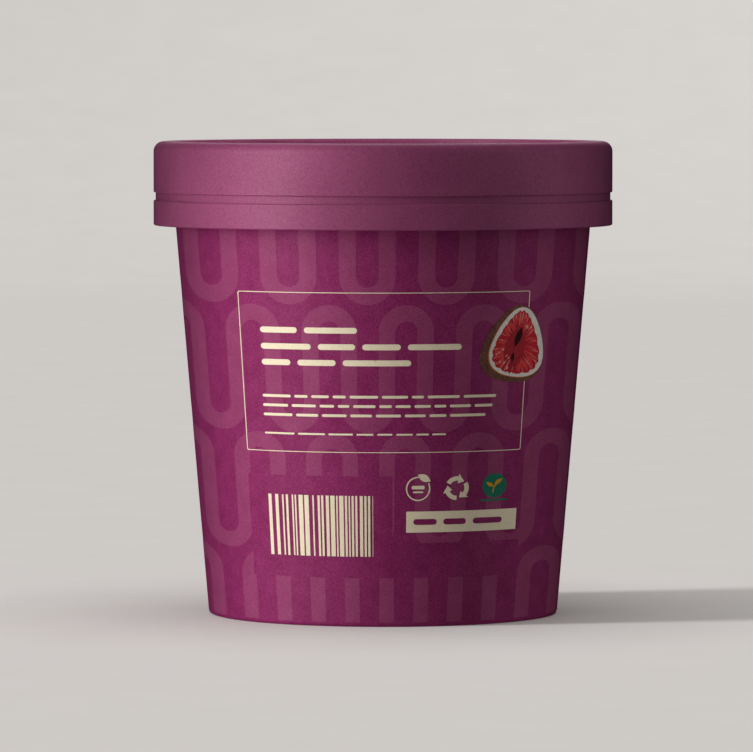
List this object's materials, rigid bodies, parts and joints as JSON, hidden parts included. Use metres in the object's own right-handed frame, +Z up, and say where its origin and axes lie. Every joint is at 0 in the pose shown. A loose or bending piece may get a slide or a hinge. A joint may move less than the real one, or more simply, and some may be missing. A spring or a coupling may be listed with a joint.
{
  "type": "lidded paper tub of dipped raspberries",
  "caption": "Shut round paperboard tub, tapered, with a pressed-on grooved plastic lid, for chocolate-dipped raspberries; stands on a recessed foot ring.",
  "frame": {"origin": "centre of the ring that the tub stands on, on the surface under it", "axes": "+Z up along the tub's axis; the label faces -Y; +X is to the right of someone facing the label"},
  "size_m": [0.1, 0.1, 0.1029],
  "materials": {
    "lid_plastic": "plum moulded polypropylene, semi-matte with a fine grain",
    "printed_board": "plum printed paperboard with a satin coating and a tone-on-tone ribbon pattern",
    "plain_board": "unprinted off-white paperboard, matt",
    "ribbon_print": "paler plum ink of the ribbon pattern, satin",
    "cream_print": "cream ink of the label's frame, bars and marks, satin",
    "green_print": "green ink of the round badge, satin",
    "picture_print": "inks of the printed berry, satin"
  },
  "bodies": {
    "root": {"lid": "lid_plastic", "tub": "printed_board", "base_disc": "plain_board"}
  },
  "joints": []
}
